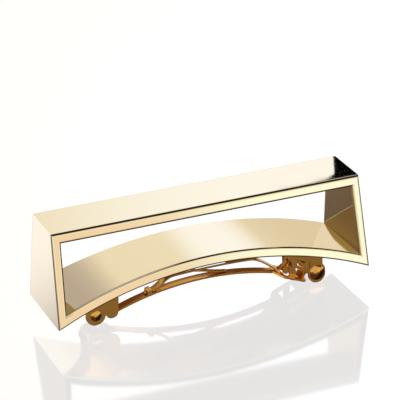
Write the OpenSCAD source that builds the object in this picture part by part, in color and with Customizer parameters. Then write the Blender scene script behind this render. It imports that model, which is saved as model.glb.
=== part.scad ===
// Barrette: an open, arched bridge of four polished plates on a sprung French clasp.
// X runs along the barrette, Y from front to back and Z up. The origin is at the middle of
// the surface that the clasp's finger ears stand on.

/* [Ornament] */
// Length across the feet
foot_length = 92; // [84:1:100]
// Length along the top edge
top_length = 90.2; // [80:0.1:91]
// Height from the feet to the top face
height = 26.2; // [22:0.1:32]
// Depth across the feet, front to back
foot_depth = 26; // [18:0.5:30]
// Depth of the top face, front to back
top_depth = 16.2; // [12:0.2:18]
// Thickness of the top bar
top_thickness = 2.9; // [2:0.1:4]
// Thickness of the two end walls
wall_thickness = 2.5; // [1.5:0.1:4]
// Thickness of the arched band
band_thickness = 2.7; // [2:0.1:3.5]
// Rise of the arch above the feet
arch_rise = 9.5; // [8.5:0.1:10]

/* [Clasp] */
// Height of the ornament's feet above the surface it stands on
clasp_drop = 6.5; // [6.5:0.1:8]
// Width of the strip that is soldered under the arch
base_width = 8; // [7.6:0.1:9]
// Thickness of the clasp's sheet metal
sheet = 0.8; // [0.6:0.1:0.9]
// Width of the closing arm
arm_width = 2.8; // [2.8:0.1:3.6]
// Thickness of the closing arm
arm_thickness = 0.6; // [0.5:0.05:0.7]
// Width across the arm's end plate
plate_width = 8.6; // [8.5:0.1:9.4]
// Width of the tension leaf
leaf_width = 2.6; // [2.3:0.1:2.8]
// Thickness of the tension leaf
leaf_thickness = 0.4; // [0.3:0.05:0.5]
// Diameter of the hinge pin
pin_diameter = 1.4; // [1.2:0.1:1.6]
// Radius of the hinge ears
hinge_ear_radius = 2.85; // [2.4:0.05:3]
// Radius of the finger ears
finger_ear_radius = 2.6; // [2.2:0.1:2.8]

/* [Hidden] */
$fn = 96;
pale_gold = "#ecd9a6";
clasp_gold = "#b98a3c";
over = 1; // how far a cutting shape reaches past the piece
lap = 0.1; // how far two shapes of one piece run into each other

// The arch: the underside's radius and the height of its centre, below the feet.
arch_radius = (pow(foot_length / 2, 2) + pow(arch_rise, 2)) / (2 * arch_rise);
arch_z = arch_rise - arch_radius;
band_radius = arch_radius + band_thickness;

// The window's corners. The lower ones lie on the band's upper face.
foot_inset = 0.2; // how much thicker an end wall is at its foot
window_top_x = top_length / 2 - wall_thickness;
window_top_z = height - top_thickness;
window_foot_x = foot_length / 2 - wall_thickness - foot_inset;
window_foot_z = arch_height(window_foot_x, band_radius);

// The clasp's sheet lies against the underside of the band.
base_radius = arch_radius - sheet;
base_left = -35;
base_right = 36.5;
slot_width = 3.6;
slots = [[-19, 9], [-2, 12], [16, 9]]; // [middle, length]

// Hinge: the pin's axis, and the second lobe that stops the arm.
pin_x = -32.6;
pin_z = -2.3;
lobe_x = -27.9;
lobe_z = -2.1;
lobe_radius = 1.9;
// The web that joins an ear's lobes to the sheet: corners as [x, z] from the pin's axis.
ear_web = [[-2.3, 0.6], [-2.4, 16], [7.3, 16], [6.6, 0.2], [3.7, -0.2]];
hinge_ear_thickness = 0.7;
hinge_gap = base_width - 2 * hinge_ear_thickness;
pin_fit = 0.05;
eye_wall = 0.85;
eye_clearance = 0.1;
rivet_head_radius = 1.6;
rivet_head_height = 0.55;

// Closing arm: an arc that ends in a straight, wider plate.
arm_radius = 80;
arm_apex_x = 1;
arm_apex_z = 1;
arm_left = -26;
bend_x = 21.8;
bend_z = arm_height(bend_x);
plate_angle = 21.5;
plate_length = 9.4;
plate_neck = 1.8;
plate_corner = 0.9;
plate_window = [2.6, 7.2]; // along the plate, from the bend
plate_window_width = 5.3;
lip_height = 2.5;
lip_width = 4;

// Strap on the arm that holds the root of the tension leaf.
strap_left = -16.4;
strap_right = -15.1;
strap_inner = 0.85;
strap_clear = 0.75;
strap_roof = 0.35;

// Tension leaf: it leaves the arm on a slanted leg, bows over it, comes down on the plate and
// turns up again at its free end.
leaf_start = -17;
root_end = -14.8;
root_width = 1.4;
foot_x = 23.4;
foot_end = 27.2;
foot_rise = 0.62; // rise of the turned-up end for each millimetre along X
foot_width = 1.6;
left_leg = [-14.8, -8.6];
right_leg = [14.4, 24];
crown_z = 3.9;
crown_x = 4;
crown_radius = 200;
leaf_gap = 0.2;
leaf_steps = 52;
tongue_root = -6;
tongue_tip = 7.5;
tongue_width = 1.1;
tongue_slot = 1.5;
tongue_lap = 4; // steps by which the tongue runs into the leaf
foot_lap = 0.3;

// Catch: its bracket is laid out square to the arch at this place along it.
catch_x = 31;
catch_angle = asin(catch_x / base_radius);
ear_sheet = 0.6;
ear_plane = 2.9; // inner face of the ears
fold_gap = 0.06;
bracket_left = 26;
bracket_right = 35.8;
bracket_width = 2 * (ear_plane + ear_sheet);
wall_reach = 4.8; // the walls' half length, square to the arch
wall_depth = 2.9;
ear_dome = 0.7;
ear_rim = 0.3; // flat rim round the finger ear's dome
ear_x = 34;
ear_z = -3.9;
ear_stretch = 1;
neck_left = 31.9;
neck_right = 35.8;
neck_top = 2;
prong_plane = 1.9; // inner face of the prongs
prong_x = 25.9;
prong_width = 2;
prong_top = 2.2;
shelf = 0.7;
prong_tip_z = -4.8;
prong_point = 0.6;
// The prong's root, and the two braces from it to the finger ear: corners as [x, z].
prong_root = [[25.9, 2.2], [27.9, 2.2], [28, 0], [26.4, -0.4]];
upper_brace = [[27.6, 1.5], [28.7, 1.3], [32.6, -2.2], [32, -3.1]];
lower_brace = [[27, 0.5], [27, -0.4], [32.2, -3.4], [32.2, -2.4]];
barb = 0.1;
barb_inset = 0.3;
barb_height = 0.6;
rivet_radius = 1.1;
rivet_head_overhang = 0.8;
catch_rivet_rise = 0.6;
rivet_seat = 0.03; // the head's flat back stands off the bracket's curve
rivet_recess = 0.05; // the shank stops short of the band

// Height of a circle about the arch's centre at x.
function arch_height(x, radius) = arch_z + sqrt(radius * radius - x * x);
// Height of the middle of the arm's sheet at x, along its arc.
function arm_height(x) =
    arm_apex_z - arm_radius + sqrt(pow(arm_radius, 2) - pow(x - arm_apex_x, 2));
// Height of the arm's or the end plate's upper face at x.
function arm_top(x) = x < bend_x
    ? arm_height(x) + arm_thickness / 2
    : bend_z - (x - bend_x) * tan(plate_angle) + arm_thickness / 2 / cos(plate_angle);
// 0 before the span, 1 after it, and a smooth step in between.
function ease(x, span) =
    let (t = max(0, min(1, (x - span[0]) / (span[1] - span[0])))) t * t * (3 - 2 * t);
// Height of the leaf's middle at x.
function leaf_height(x) =
    let (low = arm_top(x) + leaf_gap + leaf_thickness / 2)
    let (crown = crown_z - pow(x - crown_x, 2) / (2 * crown_radius))
    low + (crown - low) * ease(x, left_leg) * (1 - ease(x, right_leg));
// Height of the tongue's middle at x: it leaves the leaf and comes down to the arm.
function tongue_height(x) =
    let (low = arm_top(x) + leaf_gap + leaf_thickness / 2)
    low + (leaf_height(x) - low) * (1 - ease(x, [tongue_root, tongue_tip]));
// Points of a strip of sheet about a middle line, given as a list of [x, z].
function strip_points(line, thickness) =
    let (n = len(line) - 1)
    let (normals = [for (i = [0:n])
        let (d = line[min(n, i + 1)] - line[max(0, i - 1)]) [-d[1], d[0]] / norm(d)])
    concat(
        [for (i = [0:n]) line[i] + normals[i] * thickness / 2],
        [for (i = [n:-1:0]) line[i] - normals[i] * thickness / 2]);

// Lifts a piece from the feet's level to its height above the surface.
module stand() {
    translate([0, 0, clasp_drop]) children();
}

// Extrudes a front-view outline (X across, Z up) evenly to both sides of the middle.
module across(width) {
    rotate([90, 0, 0]) linear_extrude(height = width, center = true) children();
}

// Extrudes a front-view outline from one depth to another.
module slab(from, to) {
    translate([0, (from + to) / 2, 0]) across(abs(to - from)) children();
}

// A front-view outline at the ornament's full, tapering depth.
module tapered() {
    intersection() {
        across(foot_depth + over) children();
        rotate([90, 0, 90]) linear_extrude(height = foot_length + over, center = true)
            polygon([
                [-foot_depth / 2, 0], [foot_depth / 2, 0],
                [top_depth / 2, height], [-top_depth / 2, height]
            ]);
    }
}

// The front-view ring between two circles about the arch's centre.
module arch_ring(inner, outer) {
    translate([0, arch_z]) difference() {
        circle(r = outer, $fn = 360);
        circle(r = inner, $fn = 360);
    }
}

module top_bar() {
    color(pale_gold) stand() tapered() polygon([
        [-top_length / 2, height], [top_length / 2, height],
        [window_top_x, window_top_z], [-window_top_x, window_top_z]
    ]);
}

// One end wall; side is -1 on the left and 1 on the right.
module end_wall(side) {
    color(pale_gold) stand() tapered() polygon([
        [side * foot_length / 2, 0], [side * top_length / 2, height],
        [side * window_top_x, window_top_z], [side * window_foot_x, window_foot_z]
    ]);
}

module arched_band() {
    color(pale_gold) stand() tapered() intersection() {
        arch_ring(arch_radius, band_radius);
        polygon([
            [-foot_length / 2, 0], [foot_length / 2, 0],
            [window_foot_x, window_foot_z], [0, height], [-window_foot_x, window_foot_z]
        ]);
    }
}

// One hinge ear of the clasp's base, between two depths.
module hinge_ear(from, to) {
    slab(from, to) difference() {
        union() {
            translate([pin_x, pin_z]) circle(r = hinge_ear_radius);
            translate([lobe_x, lobe_z]) circle(r = lobe_radius);
            intersection() {
                translate([0, arch_z]) circle(r = arch_radius, $fn = 360);
                translate([pin_x, pin_z]) polygon(ear_web);
            }
        }
        translate([pin_x, pin_z]) circle(d = pin_diameter);
    }
}

module clasp_base() {
    outer = base_width / 2;
    color(clasp_gold) stand() {
        difference() {
            across(base_width) intersection() {
                arch_ring(base_radius, arch_radius);
                translate([base_left, 0]) square([base_right - base_left, height]);
            }
            for (slot = slots)
                translate([slot[0], 0, height / 2]) {
                    cube([slot[1], slot_width, height], center = true);
                    for (end = [-1, 1])
                        translate([end * slot[1] / 2, 0, 0])
                            cylinder(d = slot_width, h = height, center = true);
                }
            // Hole for the rivet that holds the catch.
            translate([catch_x, 0, arch_height(catch_x, base_radius)])
                rotate([0, catch_angle, 0])
                    cylinder(r = rivet_radius, h = 4 * sheet, center = true);
        }
        hinge_ear(-outer, -outer + hinge_ear_thickness);
        hinge_ear(outer - hinge_ear_thickness, outer);
    }
}

// A low dome with a flat back at z = 0.
module dome(radius, rise) {
    ball = (radius * radius + rise * rise) / (2 * rise);
    intersection() {
        translate([0, 0, rise - ball]) sphere(r = ball);
        cylinder(r = radius + over, h = rise + over);
    }
}

module hinge_pin() {
    color(clasp_gold) stand() translate([pin_x, 0, pin_z]) rotate([90, 0, 0]) {
        cylinder(d = pin_diameter, h = base_width, center = true);
        for (side = [0, 1])
            mirror([0, 0, side]) translate([0, 0, base_width / 2])
                dome(rivet_head_radius, rivet_head_height);
    }
}

// The wide plate at the arm's free end, from the bend, with its window and upturned lip.
module end_plate() {
    half = plate_width / 2;
    translate([bend_x, 0, bend_z]) rotate([0, plate_angle, 0]) {
        difference() {
            linear_extrude(height = arm_thickness, center = true) polygon([
                [-arm_thickness, -arm_width / 2], [-arm_thickness, arm_width / 2],
                [plate_neck, half], [plate_length - plate_corner, half],
                [plate_length, half - plate_corner], [plate_length, plate_corner - half],
                [plate_length - plate_corner, -half], [plate_neck, -half]
            ]);
            translate([plate_window[0], -plate_window_width / 2, -arm_thickness])
                cube([plate_window[1] - plate_window[0], plate_window_width, 2 * arm_thickness]);
        }
        translate([plate_length - arm_thickness, -lip_width / 2, 0])
            cube([arm_thickness, lip_width, lip_height]);
    }
}

// The strap that bridges the root of the tension leaf on the arm.
module leaf_strap() {
    roof = strap_clear + strap_roof;
    for (side = [-1, 1])
        slab(side * strap_inner, side * arm_width / 2) polygon([
            [strap_left, arm_height(strap_left)], [strap_right, arm_height(strap_right)],
            [strap_right, arm_top(strap_right) + roof], [strap_left, arm_top(strap_left) + roof]
        ]);
    across(arm_width) polygon([
        [strap_left, arm_top(strap_left) + strap_clear],
        [strap_right, arm_top(strap_right) + strap_clear],
        [strap_right, arm_top(strap_right) + roof], [strap_left, arm_top(strap_left) + roof]
    ]);
}

module closing_arm() {
    half_sheet = arm_thickness / 2;
    eye_radius = pin_diameter / 2 + pin_fit + eye_wall;
    eye_foot = pin_z - eye_radius;
    color(clasp_gold) stand() {
        across(arm_width) intersection() {
            translate([arm_apex_x, arm_apex_z - arm_radius]) difference() {
                circle(r = arm_radius + half_sheet, $fn = 360);
                circle(r = arm_radius - half_sheet, $fn = 360);
            }
            translate([arm_left, -height]) square([bend_x - arm_left, 2 * height]);
        }
        // The rolled eye that turns on the pin, and the flat that joins it to the arc.
        difference() {
            union() {
                across(hinge_gap - 2 * eye_clearance) translate([pin_x, pin_z])
                    circle(r = eye_radius);
                across(arm_width) polygon([
                    [pin_x, eye_foot], [pin_x, eye_foot + arm_thickness],
                    [arm_left + lap, arm_height(arm_left) + half_sheet],
                    [arm_left + lap, arm_height(arm_left) - half_sheet]
                ]);
            }
            translate([pin_x, 0, pin_z]) across(base_width) circle(d = pin_diameter + 2 * pin_fit);
        }
        leaf_strap();
        end_plate();
    }
}

module tension_leaf() {
    step = (foot_x - leaf_start) / leaf_steps;
    tongue_step = (tongue_tip - tongue_root) / leaf_steps;
    foot_z = leaf_height(foot_x);
    color(clasp_gold) stand() {
        difference() {
            across(leaf_width) polygon(strip_points(
                [for (i = [0:leaf_steps]) let (x = leaf_start + i * step) [x, leaf_height(x)]],
                leaf_thickness));
            translate([tongue_root, -tongue_slot / 2, 0])
                cube([tongue_tip - tongue_root, tongue_slot, height]);
            // The root is narrower where it passes under the strap.
            for (side = [-1, 1])
                translate([
                    leaf_start - over, (side - 1) * leaf_width / 2 + side * root_width / 2, -height
                ])
                    cube([root_end - leaf_start + over, leaf_width, 2 * height]);
        }
        // The tongue cut from the leaf, bent down towards the arm.
        across(tongue_width) polygon(strip_points(
            [for (i = [-tongue_lap:leaf_steps]) let (x = tongue_root + i * tongue_step)
                [x, tongue_height(x)]],
            leaf_thickness));
        // The free end, turned up so that it slides on the plate.
        across(foot_width) polygon(strip_points(
            [[foot_x - foot_lap, foot_z], [foot_x, foot_z],
                [foot_end, foot_z + (foot_end - foot_x) * foot_rise]],
            leaf_thickness));
    }
}

// Places a piece of the catch square to the underside of the clasp's base.
module at_catch() {
    translate([catch_x, 0, arch_height(catch_x, base_radius)])
        rotate([0, catch_angle, 0]) children();
}

module catch_bracket() {
    color(clasp_gold) stand() difference() {
        across(bracket_width) intersection() {
            arch_ring(base_radius - ear_sheet, base_radius);
            translate([bracket_left, 0]) square([bracket_right - bracket_left, height]);
        }
        at_catch() cylinder(r = rivet_radius, h = 4 * sheet, center = true);
    }
}

module catch_rivet() {
    head = ear_sheet + rivet_seat;
    color(clasp_gold) stand() at_catch() translate([0, 0, -head]) {
        cylinder(r = rivet_radius, h = head + sheet - rivet_recess);
        mirror([0, 0, 1]) dome(rivet_radius + rivet_head_overhang, catch_rivet_rise);
    }
}

// One sprung side of the catch: its wall, prong, braces and finger ear. The rear one is a mirror image.
module catch_ear(side) {
    outer = ear_plane + ear_sheet;
    prong_outer = prong_plane + ear_sheet;
    color(clasp_gold) stand() mirror([0, (1 + side) / 2, 0]) {
        slab(-ear_plane, -outer) {
            // The wall folded down from the bracket.
            intersection() {
                translate([catch_x, arch_height(catch_x, base_radius)]) rotate(-catch_angle)
                    translate([-wall_reach, -ear_sheet - fold_gap - wall_depth])
                        square([2 * wall_reach, 2 * wall_depth]);
                translate([0, arch_z]) circle(r = base_radius - ear_sheet - fold_gap, $fn = 360);
            }
            polygon(prong_root);
            polygon(upper_brace);
            polygon(lower_brace);
            // The finger ear and its neck.
            translate([ear_x, ear_z]) circle(r = finger_ear_radius);
            translate([ear_x, ear_z + ear_stretch]) circle(r = finger_ear_radius);
            translate([ear_x - finger_ear_radius, ear_z])
                square([2 * finger_ear_radius, ear_stretch]);
            translate([neck_left, ear_z]) square([neck_right - neck_left, neck_top - ear_z]);
        }
        // The prong stands in the arm's window, on a shelf bent in from the wall.
        slab(-prong_plane, -outer)
            translate([prong_x, prong_top - shelf]) square([prong_width, shelf]);
        slab(-prong_plane, -prong_outer) polygon([
            [prong_x, prong_top], [prong_x + prong_width, prong_top],
            [prong_x + prong_width, prong_tip_z + prong_point],
            [prong_x + prong_width / 2, prong_tip_z], [prong_x, prong_tip_z + prong_point]
        ]);
        // Barb on the outside of the prong's tip.
        translate([
            prong_x + barb_inset, -prong_outer - barb,
            prong_tip_z + prong_point - barb_height / 2
        ])
            cube([prong_width - 2 * barb_inset, 2 * barb, barb_height]);
        translate([ear_x, -outer, ear_z + ear_stretch / 2]) rotate([90, 0, 0])
            dome(finger_ear_radius - ear_rim, ear_dome);
    }
}

top_bar();
end_wall(-1);  // end_wall_left
end_wall(1);  // end_wall_right
arched_band();
clasp_base();
hinge_pin();
closing_arm();
tension_leaf();
catch_bracket();
catch_rivet();
catch_ear(-1);  // catch_ear_front
catch_ear(1);  // catch_ear_rear
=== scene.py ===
"""Barrette: an open arched bridge of polished gold on a French clasp, on a clear floor over white.

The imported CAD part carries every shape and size. This script gives each piece its softened edges and
its metal, and sets the camera, the studio and the floor.
Lengths are in metres unless a comment says millimetres, and places are in the part's own frame.
"""

import math

import bpy
from mathutils import Matrix, Vector

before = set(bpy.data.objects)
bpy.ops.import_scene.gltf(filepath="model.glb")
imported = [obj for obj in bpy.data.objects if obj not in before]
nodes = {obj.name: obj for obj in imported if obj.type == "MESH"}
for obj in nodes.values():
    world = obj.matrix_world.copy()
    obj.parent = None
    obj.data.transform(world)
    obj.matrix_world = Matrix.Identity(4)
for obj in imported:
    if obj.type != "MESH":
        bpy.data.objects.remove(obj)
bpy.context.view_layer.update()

MM = 0.001
MICRON = 0.000001

# The ornament's plates, and the widths of their softened edges in millimetres.
ORNAMENT = {"top_bar": 0.75, "end_wall_left": 0.75, "end_wall_right": 0.75, "arched_band": 0.55}
CLASP = (
    "clasp_base", "hinge_pin", "closing_arm", "tension_leaf",
    "catch_bracket", "catch_rivet", "catch_ear_front", "catch_ear_rear",
)
# Width of the clasp's softened edges.
CLASP_EDGE = 0.09 * MM

# Faces that meet at more than this angle have a hard edge between them.
HARD_ANGLE = math.radians(25)
# Triangles that meet at less than this angle are one flat face.
FLAT_ANGLE = math.radians(0.1)
# Two plates' corners that are closer than this are the same corner.
SAME_CORNER = 5 * MICRON

# Colours of the two platings, as linear reflectances. The clasp's is deeper and browner than the
# ornament's, partly as painted shade over the whole clasp.
PALE_GOLD = (0.97, 0.90, 0.66)
CLASP_GOLD = (0.80, 0.44, 0.11)
# The clasp's darkest patches, as a share of its colour.
CLASP_SHADE = 0.86
# Roughness of each plating, from its brightest spots to its dullest.
PALE_ROUGHNESS = (0.035, 0.065)
CLASP_ROUGHNESS = (0.08, 0.18)
# How much of the clasp's grain is rolling lines. The rest is pits.
LINE_SHARE = 0.6
# The range that most of a noise texture's values lie in.
NOISE_RANGE = (0.3, 0.7)

# Camera: where it stands, the way it looks, its up, and its lens and sensor in millimetres.
CAMERA_PLACE = Vector((-203.2, -521.5, 277.4)) * MM
CAMERA_VIEW = Vector((0.333, 0.852, -0.403))
CAMERA_UP = Vector((0.180, 0.362, 0.915))
CAMERA_LENS = 200.6
CAMERA_SENSOR = 36

# The studio's walls by height: sine of the elevation, and colour.
STUDIO_HEIGHTS = (
    (-0.60, (0.10, 0.06, 0.04)),
    (-0.20, (0.22, 0.16, 0.11)),
    (-0.08, (0.95, 0.93, 0.86)),
    (0.54, (0.86, 0.77, 0.65)),
    (0.75, (0.66, 0.56, 0.44)),
    (0.98, (0.95, 0.92, 0.86)),
)
# Soft bright and dark areas round the studio: azimuth, elevation, radius where full and radius where
# it ends, in degrees, and colour. Each is laid over the ones before it.
STUDIO_PATCHES = (
    (-8, 33, 4, 12, (0.50, 0.42, 0.40)),
    (38, 2, 8, 26, (0.76, 0.64, 0.50)),
    (25, 25, 1, 8.6, (1.02, 1.02, 1.14)),
    (104, -44, 34, 38, (0.02, 0.015, 0.01)),
    (90, 68, 38, 42, (0.03, 0.02, 0.015)),
    (0, 90, 10, 14, (0.95, 0.92, 0.86)),
    (-33, 7, 6, 12, (0.85, 0.79, 0.88)),
    (-15, -17, 7, 11.5, (1.03, 0.99, 1.05)),
    (178, -5, 14, 20, (0.92, 0.72, 0.56)),
    (150, -5, 9, 11.5, (1.03, 1.08, 1.02)),
    (159, -24, 4, 9, (0.32, 0.28, 0.22)),
)
# Gold mirrored in gold is deeper, and painted shade deepens it further: a ray that has left two or more
# metal faces, and ends in the studio above this height (a sine too), is darkened by this colour. The
# world counts a ray's depth as one more than the faces that it left.
MANY_BOUNCES = 2.5
PAINTED_SHADE_HEIGHT = 0.3
PAINTED_DEEP_SHADE = (0.36, 0.27, 0.15)

# What the camera sees behind and under the part. It renders as white.
BACKDROP = (1.08, 1.08, 1.08)
# The floor's width, how much of its look is a mirror, and how rough that is. The rest is clear.
FLOOR_WIDTH = 6
FLOOR_GLOSS = 0.3
FLOOR_ROUGHNESS = 0.08

# Upright flags that only reflections show, as painted reflections: corners as (x, z) and depth y in
# millimetres, the ray lengths in millimetres between which they show, and the colour of their own
# light. The right one is black, and paints a dark reflection with a curved edge in the right end of the
# top face. The clasp's is a dim brown glow that paints shade on the closing arm and deepens it.
FLAGS = {
    "painted_reflection_flag_right": {
        "outline": ((68.5, 45), (69.5, 63), (66.5, 64.4), (47, 65.4), (47, 67), (95, 67), (95, 45)),
        "depth": 60,
        "reach": (55, 100),
        "light": (0.0, 0.0, 0.0),
    },
    "painted_shade_flag_clasp": {
        "outline": (
            (-32, 9.3), (34, 9.3), (34, 13), (20, 15.5), (6, 16), (-10, 16), (-26, 15.5), (-32, 14),
        ),
        "depth": 15,
        "reach": (14, 20),
        "light": (0.16, 0.06, 0.01),
    },
}


def link(thing):
    """Puts an object into the scene."""
    bpy.context.scene.collection.objects.link(thing)
    return thing


# ---------------------------------------------------------------- node trees

class Nodes:
    """A node tree that is being built: each call adds a node and wires its inputs."""

    def __init__(self, tree):
        self.tree = tree
        tree.nodes.clear()

    def add(self, kind, settings=None, **inputs):
        """Adds a node. An input is a number, a colour, a vector, or another node's output."""
        node = self.tree.nodes.new("ShaderNode" + kind)
        for key, value in (settings or {}).items():
            setattr(node, key, value)
        for key, value in inputs.items():
            self.put(node, key.replace("_", " "), value)
        return node

    def put(self, node, key, value):
        """Sets or links one input, given by its name or its number."""
        socket = node.inputs[int(key)] if key.isdigit() else node.inputs[key]
        if isinstance(value, bpy.types.NodeSocket):
            self.tree.links.new(value, socket)
        elif isinstance(value, tuple) and socket.type == "RGBA":
            socket.default_value = (*value, 1)
        else:
            socket.default_value = value

    def math(self, operation, first, second=0.0, third=0.0):
        """The result of a Math node."""
        node = self.add("Math", {"operation": operation})
        for number, value in enumerate((first, second, third)):
            self.put(node, str(number), value)
        return node.outputs[0]

    def mix(self, blend, factor, first, second):
        """The colour result of a Mix node."""
        node = self.add("Mix", {"data_type": "RGBA", "blend_type": blend})
        for number, value in ((0, factor), (6, first), (7, second)):
            self.put(node, str(number), value)
        return node.outputs[2]

    def mix_shaders(self, factor, first, second):
        """The blend of two shader nodes."""
        node = self.add("MixShader")
        for number, value in enumerate((factor, first.outputs[0], second.outputs[0])):
            self.put(node, str(number), value)
        return node

    def fade(self, value, start, end, into=(0.0, 1.0), curve="LINEAR"):
        """A value carried from one range, start to end, into another, and held at its ends."""
        node = self.add(
            "MapRange", {"interpolation_type": curve}, Value=value,
            From_Min=start, From_Max=end, To_Min=into[0], To_Max=into[1],
        )
        return node.outputs[0]

    def noise(self, place, scale, detail):
        """The value of a noise texture."""
        return self.add("TexNoise", Vector=place, Scale=scale, Detail=detail).outputs["Fac"]


def new_material(name):
    """An empty node material and its node helper."""
    material = bpy.data.materials.new(name)
    material.use_nodes = True
    return material, Nodes(material.node_tree)


# ---------------------------------------------------------------- metals

def finish_metal(n, colour, roughness, bump):
    """Ends a tree with a metal of the given colour, roughness and bump."""
    shader = n.add(
        "BsdfPrincipled", Base_Color=colour, Metallic=1.0, Roughness=roughness,
        Normal=bump.outputs[0],
    )
    n.add("OutputMaterial", Surface=shader.outputs[0])


def polished_gold():
    """Mirror-polished plating: faint polishing waves, and haze that varies a little."""
    material, n = new_material("polished_gold")
    place = n.add("TexCoord").outputs["Object"]
    haze = n.noise(place, scale=220.0, detail=3.0)
    wave = n.noise(place, scale=60.0, detail=1.0)
    roughness = n.fade(haze, *NOISE_RANGE, into=PALE_ROUGHNESS)
    bump = n.add("Bump", Strength=0.02, Distance=0.4 * MM, Height=wave)
    finish_metal(n, PALE_GOLD, roughness, bump)
    return material


def clasp_gold():
    """Bright plating over rolled spring sheet, in a deep colour that is partly painted shade: fine
    rolling lines and small pits.
    """
    material, n = new_material("clasp_gold")
    place = n.add("TexCoord").outputs["Object"]
    along_sheet = n.add("Mapping", Vector=place, Scale=(60.0, 2200.0, 2200.0)).outputs[0]
    lines = n.noise(along_sheet, scale=1.0, detail=2.0)
    pits = n.noise(place, scale=1500.0, detail=2.0)
    tone = n.noise(place, scale=300.0, detail=1.0)
    grain = n.math("MULTIPLY_ADD", lines, LINE_SHARE, n.math("MULTIPLY", pits, 1 - LINE_SHARE))
    colour = n.mix("MIX", tone, CLASP_GOLD, tuple(part * CLASP_SHADE for part in CLASP_GOLD))
    roughness = n.fade(grain, *NOISE_RANGE, into=CLASP_ROUGHNESS)
    bump = n.add("Bump", Strength=0.06, Distance=0.03 * MM, Height=grain)
    finish_metal(n, colour, roughness, bump)
    return material


def dress(names, material):
    """Gives each named node one material."""
    for name in names:
        slots = nodes[name].data.materials
        slots.clear()
        slots.append(material)


# ---------------------------------------------------------------- soft edges

def place_key(point):
    """A vertex position as whole microns, so that shared corners compare equal."""
    return tuple(round(part / MICRON) for part in point)


def corners_of(names):
    """For each named node, its vertex positions."""
    return {name: [v.co.copy() for v in nodes[name].data.vertices] for name in names}


def lies_on(point, corners):
    """True if a point is one of the given corners."""
    return any((point - corner).length < SAME_CORNER for corner in corners)


def normals_by_edge(mesh):
    """For each edge, given as the keys of its two ends, the normals of the faces on it."""
    normals = {}
    for polygon in mesh.polygons:
        loop = [place_key(mesh.vertices[i].co) for i in polygon.vertices]
        for first, second in zip(loop, loop[1:] + loop[:1]):
            normals.setdefault(frozenset((first, second)), []).append(polygon.normal.copy())
    return normals


def mark_edges(mesh, neighbours):
    """Weights the hard edges for the bevel. Those shared with a soldered neighbour stay sharp."""
    normals = normals_by_edge(mesh)
    weights = mesh.attributes.new("bevel_weight_edge", "FLOAT", "EDGE")
    sharp = mesh.attributes.get("sharp_edge") or mesh.attributes.new("sharp_edge", "BOOLEAN", "EDGE")
    for edge in mesh.edges:
        ends = [mesh.vertices[i].co for i in edge.vertices]
        first, *others = normals[frozenset(place_key(end) for end in ends)]
        hard = any(first.angle(other, 0) > HARD_ANGLE for other in others)
        soldered = hard and any(
            all(lies_on(end, corners) for end in ends) for corners in neighbours)
        weights.data[edge.index].value = float(hard and not soldered)
        sharp.data[edge.index].value = soldered


def soften(node, width, neighbours=()):
    """Rounds a CAD node's hard edges, except those that it shares with a soldered neighbour. The mesh
    is joined and its flat faces are made whole first, so that the rounding runs clean along an edge."""
    mesh = node.data
    for polygon in mesh.polygons:
        polygon.use_smooth = True
    # The normals that the mesh came with don't fit rounded edges.
    given_normals = mesh.attributes.get("custom_normal")
    if given_normals:
        mesh.attributes.remove(given_normals)
    mark_edges(mesh, neighbours)
    weld = node.modifiers.new("join", "WELD")
    weld.merge_threshold = MICRON
    flat = node.modifiers.new("whole_faces", "DECIMATE")
    flat.decimate_type = "DISSOLVE"
    flat.angle_limit = FLAT_ANGLE
    bevel = node.modifiers.new("soft_edges", "BEVEL")
    bevel.width = width
    bevel.segments = 4
    bevel.limit_method = "WEIGHT"
    bevel.harden_normals = True


# ---------------------------------------------------------------- studio

def make_camera():
    """The camera, from its place, its view and its up."""
    data = bpy.data.cameras.new("camera")
    camera = link(bpy.data.objects.new("camera", data))
    back = -CAMERA_VIEW.normalized()
    right = CAMERA_UP.cross(back).normalized()
    turn = Matrix((right, back.cross(right), back)).transposed().to_4x4()
    camera.matrix_world = Matrix.Translation(CAMERA_PLACE) @ turn
    data.sensor_width = CAMERA_SENSOR
    data.lens = CAMERA_LENS
    data.clip_start = 0.01
    data.clip_end = 50
    bpy.context.scene.camera = camera


def toward(azimuth, elevation):
    """Unit direction. Azimuth is counted from +Y towards +X, in degrees."""
    around, up = math.radians(azimuth), math.radians(elevation)
    return (math.sin(around) * math.cos(up), math.cos(around) * math.cos(up), math.sin(up))


def studio_colour(n, direction, height):
    """What the metal mirrors in each direction: the walls by height, with the patches over them."""
    colour = STUDIO_HEIGHTS[0][1]
    for (low, _), (high, tint) in zip(STUDIO_HEIGHTS, STUDIO_HEIGHTS[1:]):
        colour = n.mix("MIX", n.fade(height, low, high), colour, tint)
    for azimuth, elevation, full, end, tint in STUDIO_PATCHES:
        near = n.add("VectorMath", {"operation": "DOT_PRODUCT"})
        n.put(near, "0", direction)
        n.put(near, "1", toward(azimuth, elevation))
        rim, core = math.cos(math.radians(end)), math.cos(math.radians(full))
        amount = n.fade(near.outputs["Value"], rim, core, curve="SMOOTHSTEP")
        colour = n.mix("MIX", amount, colour, tint)
    return colour


def make_world():
    """The studio's surroundings, which light the part and which its metal mirrors, and the backdrop."""
    world = bpy.data.worlds.new("studio")
    world.use_nodes = True
    n = Nodes(world.node_tree)
    direction = n.add("TexCoord").outputs["Generated"]
    height = n.add("SeparateXYZ", Vector=direction).outputs["Z"]
    colour = studio_colour(n, direction, height)
    path = n.add("LightPath")
    # Painted shade: a ray that has left several metal faces and ends high in the studio is darkened.
    many = n.math("GREATER_THAN", path.outputs["Ray Depth"], MANY_BOUNCES)
    above = n.math("GREATER_THAN", height, PAINTED_SHADE_HEIGHT)
    colour = n.mix("MULTIPLY", n.math("MULTIPLY", many, above), colour, PAINTED_DEEP_SHADE)
    colour = n.mix("MIX", path.outputs["Is Camera Ray"], colour, BACKDROP)
    background = n.add("Background", Color=colour, Strength=1.0)
    n.add("OutputWorld", Surface=background.outputs[0])
    bpy.context.scene.world = world


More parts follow.
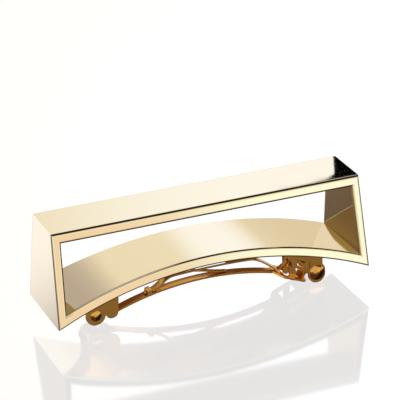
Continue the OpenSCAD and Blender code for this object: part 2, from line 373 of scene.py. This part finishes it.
def stage_sheet(name, corners):
    """One flat sheet of the studio, from its corners, and the node helper of its material."""
    mesh = bpy.data.meshes.new(name)
    mesh.from_pydata(corners, [], [tuple(range(len(corners)))])
    sheet = link(bpy.data.objects.new(name, mesh))
    material, n = new_material(name)
    mesh.materials.append(material)
    return sheet, n


def make_floor():
    """A clear, glossy plate over the white backdrop: it shows what is under it, and a faint mirror
    image of what is on it. From below it can't be seen. The metal mirrors the studio, not the floor."""
    side = FLOOR_WIDTH / 2
    outline = [(-side, -side, 0), (side, -side, 0), (side, side, 0), (-side, side, 0)]
    floor, n = stage_sheet("floor", outline)
    floor.visible_glossy = False
    below = n.add("NewGeometry").outputs["Backfacing"]
    gloss = n.math("MULTIPLY_ADD", below, -FLOOR_GLOSS, FLOOR_GLOSS)
    mirror = n.add("BsdfGlossy", Color=(1.0, 1.0, 1.0), Roughness=FLOOR_ROUGHNESS)
    surface = n.mix_shaders(gloss, n.add("BsdfTransparent"), mirror)
    n.add("OutputMaterial", Surface=surface.outputs[0])


def make_flag(name, outline, depth, reach, light):
    """An upright flag, a painted reflection, that the metal mirrors only from between the two given
    distances.
    """
    flag, n = stage_sheet(name, [(x * MM, depth * MM, z * MM) for x, z in outline])
    flag.visible_camera = flag.visible_diffuse = flag.visible_shadow = False
    length = n.add("LightPath").outputs["Ray Length"]
    shown = n.math(
        "MULTIPLY", n.math("GREATER_THAN", length, reach[0] * MM),
        n.math("LESS_THAN", length, reach[1] * MM))
    # Painted reflection: the flag glows in its colour only for rays from between the given distances.
    painted_glow = n.add("Emission", Color=light, Strength=1.0)
    surface = n.mix_shaders(shown, n.add("BsdfTransparent"), painted_glow)
    n.add("OutputMaterial", Surface=surface.outputs[0])


# ---------------------------------------------------------------- build

make_camera()
plate_corners = corners_of(ORNAMENT)
for name, width in ORNAMENT.items():
    neighbours = [plate_corners[other] for other in ORNAMENT if other != name]
    soften(nodes[name], width * MM, neighbours)
for name in CLASP:
    soften(nodes[name], CLASP_EDGE)
dress(ORNAMENT, polished_gold())
dress(CLASP, clasp_gold())

make_world()
make_floor()
for name, flag in FLAGS.items():
    make_flag(name, **flag)
bpy.context.scene.view_settings.view_transform = "Standard"
